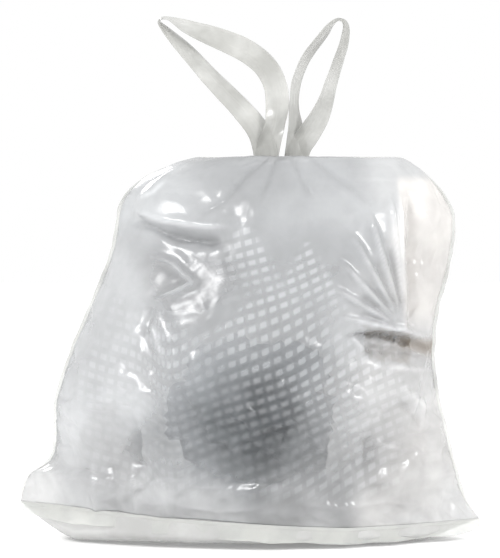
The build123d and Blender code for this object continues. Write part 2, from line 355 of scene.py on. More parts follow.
def relax_film(thing, pinned, seed):
    """A short cloth run: the film has a little spare area, which buckles between its seams."""
    group = thing.vertex_groups.new(name="pin")
    points = points_of(thing)
    for i in range(len(points)):
        if i in pinned:
            weight = 1.0
        else:
            weight = 0.14 + 0.14 * max(0.0, soft_noise(points[i], 12, seed))
        group.add([i], weight, "REPLACE")
    cloth = thing.modifiers.new("film", "CLOTH")
    settings = cloth.settings
    settings.quality = 4
    settings.mass = 0.05
    settings.air_damping = 4
    settings.tension_stiffness = 30
    settings.compression_stiffness = 30
    settings.shear_stiffness = 20
    settings.bending_stiffness = 0.08
    settings.shrink_min = -0.05
    settings.use_pressure = True
    settings.uniform_pressure_force = 0.25
    settings.vertex_group_mass = "pin"
    settings.pin_stiffness = 0.5
    settings.effector_weights.gravity = 0.2
    cloth.collision_settings.use_collision = False
    cloth.point_cache.frame_start = 1
    cloth.point_cache.frame_end = CLOTH_FRAMES
    scene = bpy.context.scene
    for number in range(1, CLOTH_FRAMES + 1):
        scene.frame_set(number)
    apply_modifiers(thing)
    scene.frame_set(1)
    thing.vertex_groups.clear()
    moved = points_of(thing) - points
    length = np.linalg.norm(moved, axis=1, keepdims=True)
    moved *= np.minimum(1, CLOTH_LIMIT / np.maximum(length, 1e-9))
    moved *= np.clip((0.340 - points[:, 2:]) / 0.12, 0.35, 1)
    set_points(thing, points + moved)


# ---------------------------------------------------------------- film panels

PROFILE = smooth_rows(BODY, PANEL_STEP)
TOP_ROW = int(np.argmax(PROFILE[:, 0]))
PROFILE_Z = PROFILE[:TOP_ROW + 1, 0]
PROFILE_LEFT = PROFILE[:TOP_ROW + 1, 1]
PROFILE_RIGHT = PROFILE[:TOP_ROW + 1, 2]


def border(rows, columns):
    """The numbers of the grid's outer points."""
    edge = set()
    for j in range(rows):
        edge.update((j * columns, j * columns + columns - 1))
    for i in range(columns):
        edge.update((i, (rows - 1) * columns + i))
    return edge


def edge_distance(points):
    """Fades from 0 on the panel's border to 1 a short way in."""
    left = np.interp(points[:, 2], PROFILE_Z, PROFILE_LEFT)
    right = np.interp(points[:, 2], PROFILE_Z, PROFILE_RIGHT)
    return np.clip(np.minimum(points[:, 0] - left, right - points[:, 0]) / 0.02, 0, 1)


def front_panel():
    grid = lift_foot(np.stack([ring_line(row, -1) for row in PROFILE]))
    thing = grid_mesh("front_film", grid)
    relax_film(thing, border(*grid.shape[:2]), 1.0)
    subdivide(thing)
    points, normals = points_of(thing), normals_of(thing)
    fade = edge_distance(points) * np.clip((points[:, 2] - SEAM_Z) / 0.02, 0, 1)
    valley = np.clip((-points[:, 1] - 0.028) / 0.02, 0, 1)
    lift = fold_height(points[:, 0], points[:, 2], FRONT_FOLDS, FRONT_SWELLS) * fade * valley
    calm_top = np.clip((0.290 - points[:, 2]) / 0.11, 0.16, 1)
    lift += crumple(points, 5.0) * fade * calm_top * np.clip((-points[:, 1] - 0.02) / 0.03, 0.15, 1)
    points = points + normals * lift[:, None]
    set_points(thing, points)
    thicken(thing, FILM_THICK)
    return thing


def underside(front_line, back_line):
    """Rows of film from the back's foot, under the contents, to the front weld."""
    rows = []
    for t in np.linspace(0, 1, 42)[1:]:
        along = np.clip((t - 0.10) / 0.80, 0, 1)
        y = back_line[:, 1] + (front_line[:, 1] - back_line[:, 1]) * along
        drop = 1 - np.clip(abs(t - 0.5) / 0.5, 0, 1) ** 4
        reach = np.clip(np.minimum(front_line[:, 0] + EAR_X, EAR_X - front_line[:, 0]) / 0.07, 0, 1)
        z = SEAM_Z - (SEAM_Z - 0.0012) * drop * reach
        rows.append(np.stack([front_line[:, 0], y, z], 1))
    return rows


def back_panel():
    upper = [ring_line(row, 1) for row in PROFILE[::-1]]
    front_line = ring_line(PROFILE[0], -1)
    grid = lift_foot(np.stack(upper + underside(front_line, upper[-1])))[:, ::-1]
    thing = grid_mesh("back_film", grid)
    columns = grid.shape[1]
    pinned = border(*grid.shape[:2])
    pinned.update(range(len(upper) * columns - 3 * columns, grid.shape[0] * columns))
    relax_film(thing, pinned, 7.0)
    subdivide(thing)
    points, normals = points_of(thing), normals_of(thing)
    fade = edge_distance(points) * np.clip((points[:, 2] - SEAM_Z) / 0.03, 0, 1)
    side = np.clip((points[:, 1] - 0.02) / 0.03, 0.0, 1)
    lift = crumple(points, 21.0) * 0.8 + fold_height(points[:, 0], points[:, 2], BACK_FOLDS, [])
    lift *= fade * side
    points = points + normals * lift[:, None]
    points[:, 2] = np.maximum(points[:, 2], 0.0006)
    set_points(thing, points)
    thicken(thing, FILM_THICK)
    return thing


# ---------------------------------------------------------------- seals

def bottom_seal():
    """The skirt under the bottom weld: it follows the front's foot and ends at the two ears."""
    top = lift_foot(ring_line(PROFILE[0], -1))
    x_share = (top[:, 0] - top[0, 0]) / (top[-1, 0] - top[0, 0])
    places = [0, 0.03, 0.09, 0.5, 0.92, 0.98, 1]
    drop = np.interp(x_share, places, [0.50, 0.75, 0.95, 1, 0.95, 0.75, 0.45])
    rows = []
    for share in np.linspace(0, 1, 15):
        row = top.copy()
        for i, (x, y, z) in enumerate(top):
            wave = soft_noise((x, 0, 0), 16, 31.0) + 0.5 * soft_noise((x, 0, 0), 44, 35.0)
            ragged = 0.16 * soft_noise((x, 0.4, 0), 20, 40.0) + 0.08 * soft_noise((x, 0.9, 0), 70, 44.0)
            height = SKIRT_HEIGHT * drop[i] * (1 + ragged)
            row[i, 2] = z - height * share
            row[i, 1] = y - 0.0003 + (wave * 0.012 - 0.002) * share * drop[i]
        rows.append(row)
    thing = grid_mesh("bottom_weld", np.array(rows)[:, ::-1])
    subdivide(thing)
    points, normals = points_of(thing), normals_of(thing)
    foot = np.interp(points[:, 0], top[:, 0], top[:, 2])
    weld = np.exp(-((foot - points[:, 2] - 0.0035) / 0.0012) ** 2) * 0.0005
    points = points + normals * weld[:, None]
    points[:, 2] = np.maximum(points[:, 2], 0.0008)
    set_points(thing, points)
    thicken(thing, FILM_THICK)
    return thing


def side_seal(side, name):
    """The narrow welded flange along one edge of the bag."""
    column = 1 if side < 0 else 2
    rows = []
    picked = PROFILE[:TOP_ROW - 2]
    for share in np.linspace(0, 1, 6):
        row = []
        for j, line in enumerate(picked):
            z = line[0]
            taper = min(1.0, j / 6, (len(picked) - 1 - j) / 8)
            wave = soft_noise((0, 0, z), 30, 50.0 + side)
            reach = 0.0052 * share * taper * (1 + 0.3 * soft_noise((0, 0, z), 60, 57.0))
            row.append((line[column] + side * (reach - 0.0008), wave * 0.005 * share * taper, z))
        rows.append(row)
    grid = lift_foot(np.array(rows))
    if side > 0:
        grid = grid[::-1]
    thing = grid_mesh(name, grid)
    subdivide(thing)
    thicken(thing, FILM_THICK * 1.6)
    return thing


# ---------------------------------------------------------------- drawn neck

def neck_ring(turn, out, z, pucker):
    """A point of the gathered ring: out is the distance outside of the ring's line."""
    wave = math.sin(turn * 29 + 1.3 * math.sin(turn * 3)) + 0.5 * math.sin(turn * 47 + 2)
    reach = out + pucker * wave
    x = NECK.x + (RING_LENGTH + reach) * math.copysign(abs(math.cos(turn)) ** 0.8, math.cos(turn))
    y = (RING_WIDTH - 0.003 + reach) * math.sin(turn)
    return (x, y, z)


def half_ring(side):
    """The angles of the front half of the ring, or of the back half."""
    start = math.pi if side < 0 else 0
    return np.linspace(start, start + math.pi, RING_STEPS)


def hem(side, name, notch_x):
    """Half of the folded tape channel, puckered on its tape, with its cut-out."""
    profile = [
        (0.0016, 0.4450, 0.0002), (0.0021, 0.4500, 0.0006), (0.0026, 0.4580, 0.0010),
        (0.0027, 0.4660, 0.0013), (0.0024, 0.4730, 0.0015), (0.0016, 0.4780, 0.0016),
        (0.0002, 0.4798, 0.0016), (-0.0012, 0.4780, 0.0016), (-0.0020, 0.4720, 0.0014),
        (-0.0022, 0.4620, 0.0011), (-0.0018, 0.4520, 0.0006), (-0.0010, 0.4455, 0.0002),
    ]
    rows = []
    for out, z, pucker in profile:
        line = []
        for turn in half_ring(side):
            line.append(neck_ring(turn, out, z + pucker * math.sin(turn * 23), pucker))
        rows.append(line)
    thing = grid_mesh(name, np.array(rows))
    cut = bmesh.new()
    cut.from_mesh(thing.data)
    doomed = []
    for face in cut.faces:
        centre = face.calc_center_median()
        away = centre.x - notch_x
        slope = 0.003 * math.cos(away / NOTCH_HALF * math.pi / 2)
        if abs(away) < NOTCH_HALF and centre.z > 0.4565 - slope:
            doomed.append(face)
    bmesh.ops.delete(cut, geom=doomed, context="FACES")
    cut.to_mesh(thing.data)
    cut.free()
    subdivide(thing)
    thicken(thing, FILM_THICK)
    return thing


def hem_seal(side, name):
    """The weld at the foot of the channel: a flat ribbed band on the puckered film."""
    rows = []
    for step in range(7):
        z = 0.4405 + 0.0006 * step
        out = 0.0018 + 0.0003 * (step % 2)
        rows.append([neck_ring(turn, out, z, 0.0004) for turn in half_ring(side)])
    thing = grid_mesh(name, np.array(rows))
    subdivide(thing)
    thicken(thing, FILM_THICK)
    return thing


def tape_in_hem(name, start, end):
    """A stretch of tape inside the channel, from one angle of the ring to another."""
    turns = np.linspace(start, end, max(12, int(abs(end - start) * 60)))
    rows = []
    for z in np.linspace(0.4475, 0.4755, 9):
        rows.append([neck_ring(turn, 0.0003, z, 0.0005) for turn in turns])
    thing = grid_mesh(name, np.array(rows))
    thicken(thing, TAPE_THICK)
    return thing


# ---------------------------------------------------------------- draw tapes

def tape(name, stations, seed):
    """A flat tape through (centre, direction across), both in metres, smooth and a little crumpled."""
    centres = np.array([c for c, _ in stations])
    across = np.array([np.array(a) / np.linalg.norm(a) for _, a in stations])
    samples = smooth_curve(np.hstack([centres, across]), 14)
    shares = np.linspace(-1, 1, 17)
    grid = []
    along = 0.0
    for n, row in enumerate(samples):
        if n:
            along += np.linalg.norm(row[:3] - samples[n - 1][:3])
        side = row[3:] / np.linalg.norm(row[3:])
        ahead = samples[min(n + 1, len(samples) - 1)][:3] - samples[max(n - 1, 0)][:3]
        out = np.cross(ahead, side)
        out /= np.linalg.norm(out)
        loose = min(1.0, max(0.25, (row[2] - 0.480) / 0.03))
        line = []
        for s in shares:
            curl = 0.0042 * s * s * (0.25 + soft_noise((along, 0, 0), 11, seed)) * loose
            crease = 0.0011 * ridge_noise((along * 0.30, s * 0.012, 0), 60, seed + 4) * loose
            ripple = 0.0003 * soft_noise((along, s * 0.02, 0), 70, seed + 9)
            line.append(row[:3] + side * s * TAPE_WIDTH / 2 + out * (curl + crease + ripple))
        grid.append(line)
    thing = grid_mesh(name, np.array(grid))
    subdivide(thing)
    thicken(thing, TAPE_THICK)
    return thing


def left_tape():
    x, y = LEFT_X, -LOOP_Y
    return tape("left_draw_tape", [
        ((x, y - 0.0007, 0.403), (1, 0, 0)),
        ((x, y - 0.0007, 0.440), (1, 0, 0)),
        ((x, y - 0.0008, 0.472), (1, 0.03, 0)),
        ((0.018, y - 0.0012, 0.494), (0.97, 0.08, 0.14)),
        ((0.010, y - 0.0018, 0.517), (0.86, 0.30, 0.40)),
        ((-0.012, y - 0.002, 0.545), (0.70, 0.48, 0.52)),
        ((-0.044, y - 0.002, 0.580), (0.60, 0.64, 0.48)),
        ((-0.082, y - 0.001, 0.622), (0.45, 0.80, 0.36)),
        ((-0.103, y - 0.001, 0.644), (0.25, 0.94, 0.20)),
        ((-0.1115, y - 0.001, 0.6525), (0.04, 1.00, 0.10)),
        ((-0.102, y - 0.001, 0.6535), (0.02, 0.98, 0.20)),
        ((-0.080, y - 0.001, 0.6455), (0.20, 0.82, 0.54)),
        ((-0.042, y, 0.6315), (0.30, 0.50, 0.82)),
        ((-0.008, y + 0.001, 0.6165), (0.42, 0.22, 0.88)),
        ((0.017, y + 0.002, 0.598), (0.70, 0.16, 0.68)),
        ((0.031, y + 0.002, 0.574), (0.95, 0.14, 0.25)),
        ((0.034, y + 0.002, 0.550), (0.98, 0.16, 0.02)),
        ((0.031, y + 0.0016, 0.524), (0.86, 0.50, -0.08)),
        ((0.024, y + 0.0010, 0.500), (0.96, 0.18, -0.05)),
        ((x, y + 0.0008, 0.472), (1, 0, 0)),
        ((x, y + 0.0007, 0.440), (1, 0, 0)),
        ((x, y + 0.0007, 0.403), (1, 0, 0)),
    ], 61.0)


def right_tape():
    x, y = RIGHT_X, LOOP_Y
    return tape("right_draw_tape", [
        ((x, y - 0.0007, 0.403), (1, 0, 0)),
        ((x, y - 0.0007, 0.440), (1, 0, 0)),
        ((x, y - 0.0008, 0.474), (1, 0.05, 0)),
        ((0.0585, y - 0.0012, 0.500), (0.86, 0.50, 0.02)),
        ((0.058, y - 0.001, 0.524), (0.60, 0.80, 0.02)),
        ((0.056, y - 0.001, 0.550), (0.40, 0.92, 0.00)),
        ((0.059, y, 0.578), (0.36, 0.92, -0.12)),
        ((0.073, y, 0.610), (0.32, 0.92, -0.22)),
        ((0.098, y, 0.639), (0.24, 0.95, -0.24)),
        ((0.111, y, 0.6525), (0.05, 1.00, -0.02)),
        ((0.1175, y, 0.6465), (0.20, 0.97, 0.04)),
        ((0.1135, y, 0.622), (0.40, 0.90, -0.08)),
        ((0.104, y, 0.585), (0.48, 0.86, -0.14)),
        ((0.096, y + 0.0005, 0.556), (0.62, 0.74, -0.20)),
        ((0.086, y + 0.001, 0.533), (0.78, 0.55, -0.30)),
        ((0.071, y + 0.0014, 0.508), (0.92, 0.22, -0.36)),
        ((0.061, y + 0.0010, 0.490), (0.99, 0.06, -0.14)),
        ((x, y + 0.0008, 0.470), (1, 0, 0)),
        ((x, y + 0.0007, 0.440), (1, 0, 0)),
        ((x, y + 0.0007, 0.403), (1, 0, 0)),
    ], 83.0)


# ---------------------------------------------------------------- contents

def bundle(name, centre, radii, seed, depth):
    """A crumpled wad: a fine ball pushed in between sharp ridges, so far as depth says."""
    ball = bmesh.new()
    bmesh.ops.create_icosphere(ball, subdivisions=5, radius=1)
    for vertex in ball.verts:
        p = vertex.co.copy()
        wide = ridge_noise(p, 1.7, seed)
        fine = ridge_noise(p, 4.1, seed + 5)
        vertex.co = p * (0.94 - depth * (1 - wide) - depth * 0.35 * (1 - fine))
        vertex.co = Vector(centre) + Vector([vertex.co[k] * radii[k] for k in range(3)])
    thing = mesh_from(name, ball)
    for face in thing.data.polygons:
        face.use_smooth = True
    return thing


def bent_card(name, node, seed):
    """A torn, bent piece of card inside of its CAD plate's box."""
    low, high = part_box(node)
    centre = (Vector(low) + Vector(high)) / 2
    size = Vector(high) - Vector(low)
    rows = []
    for v in np.linspace(-1, 1, 33):
        row = []
        for u in np.linspace(-1, 1, 45):
            torn_u = u * (1 - 0.10 * ridge_noise((0, v, 0), 1.8, seed))
            torn_v = v * (1 - 0.14 * ridge_noise((u, 0, 0), 2.2, seed + 2))
            bend = 0.10 * math.sin(u * 2.2 + v) + 0.05 * soft_noise((u, v, 0), 2.4, seed)
            x = centre.x + torn_u * size.x * 0.46
            y = centre.y - torn_u * size.y * 0.40 + bend * size.y * 0.5
            row.append((x, y, centre.z + torn_v * size.z * 0.40 - torn_u * size.z * 0.06))
        rows.append(row)
    thing = grid_mesh(name, np.array(rows))
    thicken(thing, 0.0012)
    return thing


def crushed_carton(name, node, seed):
    """A folded carton with dented walls and softened edges."""
    low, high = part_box(node)
    centre = (Vector(low) + Vector(high)) / 2
    half = (Vector(high) - Vector(low)) / 2
    box = bmesh.new()
    bmesh.ops.create_cube(box, size=2)
    bmesh.ops.subdivide_edges(box, edges=box.edges[:], cuts=40, use_grid_fill=True)
    for vertex in box.verts:
        p = vertex.co.copy()
        dent = 0.06 + 0.12 * ridge_noise(p, 1.3, seed) + 0.03 * ridge_noise(p, 3.4, seed + 3)
        shrink = 0.90 - dent * 0.5
        q = Vector([p[k] * shrink for k in range(3)])
        vertex.co = centre + Vector([q[k] * half[k] for k in range(3)])
    return mesh_from(name, box)


# ---------------------------------------------------------------- materials

class Nodes:
    """A short way to write a node material."""

    def __init__(self, name):
        self.material = bpy.data.materials.new(name)
        self.material.use_nodes = True
        self.tree = self.material.node_tree
        self.shader = self.tree.nodes["Principled BSDF"]

    def add(self, kind, **settings):
        node = self.tree.nodes.new(kind)
        for key, value in settings.items():
            if key in node.inputs:
                node.inputs[key].default_value = value
            else:
                setattr(node, key, value)
        return node

    def join(self, source, target):
        self.tree.links.new(source, target)

    def maths(self, operation, first, second=None):
        node = self.add("ShaderNodeMath", operation=operation)
        for n, value in enumerate((first, second)):
            if value is None:
                continue
            if isinstance(value, (int, float)):
                node.inputs[n].default_value = value
            else:
                self.join(value, node.inputs[n])
        return node.outputs[0]

    def spread(self, value, low, high, to_low, to_high, smooth=True):
        node = self.add("ShaderNodeMapRange")
        node.interpolation_type = "SMOOTHSTEP" if smooth else "LINEAR"
        self.join(value, node.inputs["Value"])
        for key, number in zip(("From Min", "From Max", "To Min", "To Max"), (low, high, to_low, to_high)):
            node.inputs[key].default_value = number
        return node.outputs["Result"]

    def noise(self, scale, detail=3.0, coordinates=None, distortion=0.0):
        node = self.add("ShaderNodeTexNoise", Scale=scale, Detail=detail, Distortion=distortion)
        if coordinates is None:
            coordinates = self.add("ShaderNodeTexCoord").outputs["Object"]
        self.join(coordinates, node.inputs["Vector"])
        return node.outputs["Fac"]

    def blend_colours(self, factor, first, second):
        node = self.add("ShaderNodeMix", data_type="RGBA")
        self.join(factor, node.inputs["Factor"])
        for socket, value in ((node.inputs[6], first), (node.inputs[7], second)):
            if isinstance(value, tuple):
                socket.default_value = value
            else:
                self.join(value, socket)
        return node.outputs[2]

    def bump(self, height, strength, distance, normal=None):
        node = self.add("ShaderNodeBump", Strength=strength, Distance=distance)
        self.join(height, node.inputs["Height"])
        if normal is not None:
            self.join(normal, node.inputs["Normal"])
        self.join(node.outputs["Normal"], self.shader.inputs["Normal"])
        return node.outputs["Normal"]


def crinkle(nodes, scale):
    """Fine film crinkle: thin bright ridges of a warped cell pattern."""
    cells = nodes.add("ShaderNodeTexVoronoi", feature="DISTANCE_TO_EDGE", Scale=scale)
    warp = nodes.add("ShaderNodeTexNoise", Scale=scale * 0.6, Detail=2.0)
    place = nodes.add("ShaderNodeTexCoord").outputs["Object"]
    nodes.join(place, warp.inputs["Vector"])
    mix = nodes.add("ShaderNodeMix", data_type="VECTOR")
    mix.inputs["Factor"].default_value = 0.06
    nodes.join(place, mix.inputs[4])
    nodes.join(warp.outputs["Color"], mix.inputs[5])
    nodes.join(mix.outputs[1], cells.inputs["Vector"])
    return cells.outputs["Distance"]


LOZENGE_ROW = 0.0130        # pitch of the embossed grid, up and across
LOZENGE_COLUMN = 0.0135


def film_material(name, embossed):
    """Milky translucent film. The embossed film has the raised lozenge grid in its lower part."""
    nodes = Nodes(name)
    haze = nodes.noise(20.0, 5.0)
    alpha = nodes.spread(haze, 0.30, 0.70, 0.46, 0.50)
    tone = nodes.spread(haze, 0.25, 0.75, 0.0, 1.0)
    if embossed:
        # The tone attribute is the front film's colour with painted light and shade in it.
        light = nodes.add("ShaderNodeAttribute", attribute_name="tone").outputs["Color"]
        cling = nodes.add("ShaderNodeAttribute", attribute_name="cling").outputs["Fac"]
        shade = nodes.add("ShaderNodeHueSaturation", Value=0.86)
        nodes.join(light, shade.inputs["Color"])
        colour = nodes.blend_colours(tone, shade.outputs["Color"], light)
        alpha = nodes.maths("SUBTRACT", alpha, nodes.maths("MULTIPLY", cling, 0.22))
    else:
        colour = nodes.blend_colours(tone, (0.55, 0.55, 0.54, 1), (0.68, 0.68, 0.67, 1))
    ridges = crinkle(nodes, 26.0)
    height = nodes.spread(ridges, 0.0, 0.05, 0.5, 0.0)
    if embossed:
        lozenge = nodes.add("ShaderNodeAttribute", attribute_name="lozenge")
        split = nodes.add("ShaderNodeSeparateXYZ")
        nodes.join(lozenge.outputs["Vector"], split.inputs[0])
        rows = nodes.maths("MULTIPLY", split.outputs[1], 2 * math.pi / LOZENGE_ROW)
        columns = nodes.maths("MULTIPLY", split.outputs[0], 2 * math.pi / LOZENGE_COLUMN)
        row_wave = nodes.spread(nodes.maths("COSINE", rows), -0.75, 0.75, 0.0, 1.0)
        column_wave = nodes.spread(nodes.maths("COSINE", columns), -1.0, 0.05, 0.0, 1.0)
        grid = nodes.maths("MULTIPLY", row_wave, column_wave)
        lines = nodes.maths("MULTIPLY", row_wave, 0.25)
        pattern = nodes.maths("MAXIMUM", grid, lines)
        pattern = nodes.maths("MULTIPLY", pattern, split.outputs[2])
        alpha = nodes.maths("ADD", alpha, nodes.maths("MULTIPLY", pattern, 0.08))
        colour = nodes.blend_colours(nodes.maths("MULTIPLY", pattern, 0.25), colour, (0.84, 0.86, 0.88, 1))
        height = nodes.maths("ADD", nodes.maths("MULTIPLY", height, 0.5), pattern)
    nodes.join(alpha, nodes.shader.inputs["Alpha"])
    nodes.join(colour, nodes.shader.inputs["Base Color"])
    rough = nodes.spread(nodes.noise(60.0, 2.0), 0.3, 0.7, 0.17, 0.26)
    nodes.join(rough, nodes.shader.inputs["Roughness"])
    nodes.shader.inputs["IOR"].default_value = 1.5
    nodes.bump(height, 0.30, 0.0005)
    return nodes.material


def seal_material():
    """Welded film: whiter, with fine cross ribs."""
    nodes = Nodes("welded_film")
    ribs = nodes.add("ShaderNodeTexWave", Scale=160.0, Distortion=0.4)
    nodes.join(nodes.add("ShaderNodeTexCoord").outputs["UV"], ribs.inputs["Vector"])
    tone = nodes.spread(nodes.noise(30.0), 0.3, 0.7, 0.0, 1.0)
    colour = nodes.blend_colours(tone, (0.56, 0.57, 0.55, 1), (0.60, 0.605, 0.58, 1))
    nodes.join(colour, nodes.shader.inputs["Base Color"])
    nodes.join(nodes.spread(tone, 0, 1, 0.46, 0.50), nodes.shader.inputs["Alpha"])
    nodes.join(nodes.spread(tone, 0, 1, 0.28, 0.40), nodes.shader.inputs["Roughness"])
    nodes.bump(ribs.outputs["Fac"], 0.25, 0.0003)
    return nodes.material


def tape_material():
    """Satin tape: denser than the bag's film, with stretch lines along it."""
    nodes = Nodes("draw_tape")
    place = nodes.add("ShaderNodeTexCoord").outputs["UV"]
    stretch = nodes.add("ShaderNodeMapping")
    stretch.inputs["Scale"].default_value = (110.0, 9.0, 1.0)
    nodes.join(place, stretch.inputs["Vector"])
    lines = nodes.noise(1.0, 3.0, stretch.outputs["Vector"])
    tone = nodes.spread(nodes.noise(22.0, 3.0), 0.3, 0.7, 0.0, 1.0)
    colour = nodes.blend_colours(tone, (0.36, 0.36, 0.34, 1), (0.52, 0.52, 0.50, 1))
    nodes.join(colour, nodes.shader.inputs["Base Color"])
    nodes.join(nodes.spread(lines, 0.2, 0.8, 0.62, 0.76), nodes.shader.inputs["Alpha"])
    nodes.join(nodes.spread(lines, 0.2, 0.8, 0.18, 0.32), nodes.shader.inputs["Roughness"])
    nodes.bump(lines, 0.08, 0.0003)
    return nodes.material


def paper_material(name, dark, light, roughness, rim=None):
    """Crumpled paper or card: mottled tone, soft fibres and creases.

    rim is (centre, inner radius, outer radius): from the inner radius out to the outer one the colour turns
    pale grey, if any.
    """
    nodes = Nodes(name)
    tone = nodes.spread(nodes.noise(14.0, 5.0, distortion=0.6), 0.3, 0.7, 0.0, 1.0)
    colour = nodes.blend_colours(tone, dark, light)
    if rim:
        centre, inner, outer = rim
        away = nodes.add("ShaderNodeVectorMath", operation="DISTANCE")
        nodes.join(nodes.add("ShaderNodeTexCoord").outputs["Object"], away.inputs[0])
        away.inputs[1].default_value = centre
        ragged = nodes.maths("MULTIPLY", nodes.noise(16.0, 4.0), 0.09)
        edge = nodes.spread(nodes.maths("ADD", away.outputs["Value"], ragged), inner, outer, 0.0, 1.0)
        colour = nodes.blend_colours(edge, colour, (0.55, 0.56, 0.57, 1))
    nodes.join(colour, nodes.shader.inputs["Base Color"])
    fibres = nodes.noise(420.0, 3.0)
    rough = nodes.spread(fibres, 0.2, 0.8, roughness - 0.1, roughness + 0.1)
    nodes.join(rough, nodes.shader.inputs["Roughness"])
    creases = nodes.spread(crinkle(nodes, 30.0), 0.0, 0.1, 1.0, 0.0)
    nodes.bump(nodes.maths("ADD", creases, nodes.maths("MULTIPLY", fibres, 0.2)), 0.5, 0.0008)
    return nodes.material


def lozenge_attribute(thing):
    """Film coordinates of the lozenge grid in x and y, and how strongly it shows in z."""
    points = points_of(thing)
    x, z = points[:, 0], points[:, 2]
    slope = math.radians(24)
    upright = math.radians(-6)
    leftness = 1 / (1 + np.exp((x + 0.115) / 0.010))
    grid_x = x * math.cos(slope) + z * math.sin(slope) * 0.35
    grid_z = -x * math.sin(slope) + z * math.cos(slope)
    left_x = x * math.cos(upright) + z * math.sin(upright)
    left_z = -x * math.sin(upright) + z * math.cos(upright)
    wobble = 0.004 * np.sin(x * 31) + 0.004 * np.sin(z * 37)
    along = grid_x * (1 - leftness) + left_x * leftness + wobble * 0.5
    up = grid_z * (1 - leftness) + left_z * leftness + wobble
    patches = [
        (-0.008, 0.408, 0.330, 0.62), (0.070, 0.380, 0.300, 0.60), (0.030, 0.330, 0.140, 1.30),
        (-0.165, 0.318, 0.170, 0.42), (0.140, 0.240, 0.090, 0.70), (-0.060, 0.230, 0.080, 1.20),
    ]
    shown = np.zeros(len(x))
    for apex_x, apex_z, foot_z, spread in patches:
        down = np.clip((apex_z - z) / (apex_z - foot_z + 0.001), 0, 3)
        half = 0.006 + spread * np.clip(apex_z - z, 0, None)
        inside = np.clip((half - np.abs(x - apex_x)) / 0.012, 0, 1) * (z < apex_z)
        shown = np.maximum(shown, inside * np.clip(1.5 - down, 0, 1))
    low = np.clip((z - 0.055) / 0.03, 0, 1) * np.clip((0.300 - z) / 0.04, 0, 1)
    low *= np.clip((0.205 - x) / 0.03, 0, 1) * np.clip((x + 0.225) / 0.03, 0, 1)
    shown = np.maximum(shown * np.clip((z - 0.18) / 0.06 + 0.40, 0, 1), low * 0.55)
    patchy = np.array([soft_noise((px, 0, pz), 13, 3.3) for px, pz in zip(x, z)])
    shown *= 1 - 0.45 * leftness
    shown = np.clip(shown * (0.80 + 1.0 * patchy), 0, 1) * (points[:, 1] < -0.02)
    store(thing, "lozenge", "FLOAT_VECTOR", "vector", np.stack([along, up, shown], 1))


# Painted light and shade of the front film, in spots: how light it looks over what is behind it: x, z,
# reach, grey, warmth.
PAINTED_LIGHT_AND_SHADE = [
    (0.000, 0.447, 0.050, 0.44, 0.00), (0.113, 0.441, 0.040, 0.50, 0.00),
    (0.164, 0.454, 0.030, 0.68, 0.01), (-0.126, 0.428, 0.040, 0.64, 0.00),
    (-0.060, 0.400, 0.040, 0.50, 0.00), (0.063, 0.397, 0.050, 0.53, 0.00),
    (-0.063, 0.302, 0.050, 0.42, -0.01), (0.000, 0.265, 0.050, 0.40, -0.01),
    (0.050, 0.340, 0.050, 0.44, -0.01), (0.151, 0.302, 0.040, 0.62, 0.00),
    (-0.164, 0.302, 0.040, 0.72, 0.00), (-0.202, 0.150, 0.050, 0.68, 0.00),
    (-0.139, 0.202, 0.040, 0.66, 0.00), (-0.063, 0.202, 0.040, 0.40, -0.02),
    (0.013, 0.192, 0.050, 0.26, -0.03), (-0.050, 0.145, 0.050, 0.19, -0.03),
    (0.010, 0.146, 0.050, 0.18, -0.03), (0.063, 0.132, 0.050, 0.26, -0.01),
    (-0.030, 0.222, 0.022, 0.26, -0.03), (0.045, 0.232, 0.022, 0.30, -0.03),
    (-0.075, 0.180, 0.030, 0.28, -0.03), (-0.101, 0.130, 0.032, 0.30, -0.02),
    (0.101, 0.176, 0.032, 0.44, 0.00), (0.126, 0.126, 0.035, 0.42, 0.01),
    (0.164, 0.176, 0.040, 0.68, 0.02), (0.227, 0.113, 0.040, 0.86, 0.03),
    (0.189, 0.070, 0.040, 0.62, 0.03), (0.063, 0.063, 0.040, 0.40, 0.01),
    (-0.063, 0.055, 0.040, 0.52, 0.01), (-0.126, 0.076, 0.040, 0.52, 0.01),
    (-0.189, 0.076, 0.040, 0.64, 0.01), (-0.270, 0.070, 0.030, 0.80, 0.02),
    (0.227, 0.390, 0.030, 0.90, 0.03), (0.210, 0.320, 0.030, 0.78, 0.03),
    (0.270, 0.050, 0.030, 0.80, 0.02), (0.176, 0.222, 0.020, 0.66, 0.02),
    (-0.200, 0.026, 0.020, 0.70, 0.01), (-0.060, 0.026, 0.020, 0.66, 0.01),
    (0.080, 0.026, 0.020, 0.64, 0.01), (0.200, 0.026, 0.020, 0.70, 0.02),
]

# The line of painted shade in the pocket that the pinch at the right edge makes, in (x, z): it widens
# towards the edge.
POCKET_SHADE_LINE = [(0.122, 0.266), (0.160, 0.262), (0.196, 0.252), (0.231, 0.242)]

# Painted light: the loose film behind the front's right edge, lit through with nothing dark behind it, is
# painted this light.
LOBE_PAINTED_LIGHT = 0.86            # the loose film behind the front's right edge
LIGHT_TRIM = 0.81

# Where the dark contents press against the film, which is clearer there: x, z, radius, strength.
CLINGS = [
    (0.010, 0.150, 0.055, 0.9), (-0.040, 0.150, 0.035, 0.7), (0.055, 0.140, 0.035, 0.6),
    (0.020, 0.205, 0.035, 0.6), (0.212, 0.247, 0.006, 0.30),
]


def blend_painted_light_and_shade(x, z):
    """The spots of painted light and shade blended: grey and warmth at each point."""
    total = np.zeros(len(x))
    grey = np.zeros(len(x))
    warm = np.zeros(len(x))
    for tx, tz, reach, tone, warmth in PAINTED_LIGHT_AND_SHADE:
        weight = np.exp(-((x - tx) ** 2 + (z - tz) ** 2) / reach ** 2) + 1e-6
        total += weight
        grey += weight * tone
        warm += weight * warmth
    return grey / total, warm / total


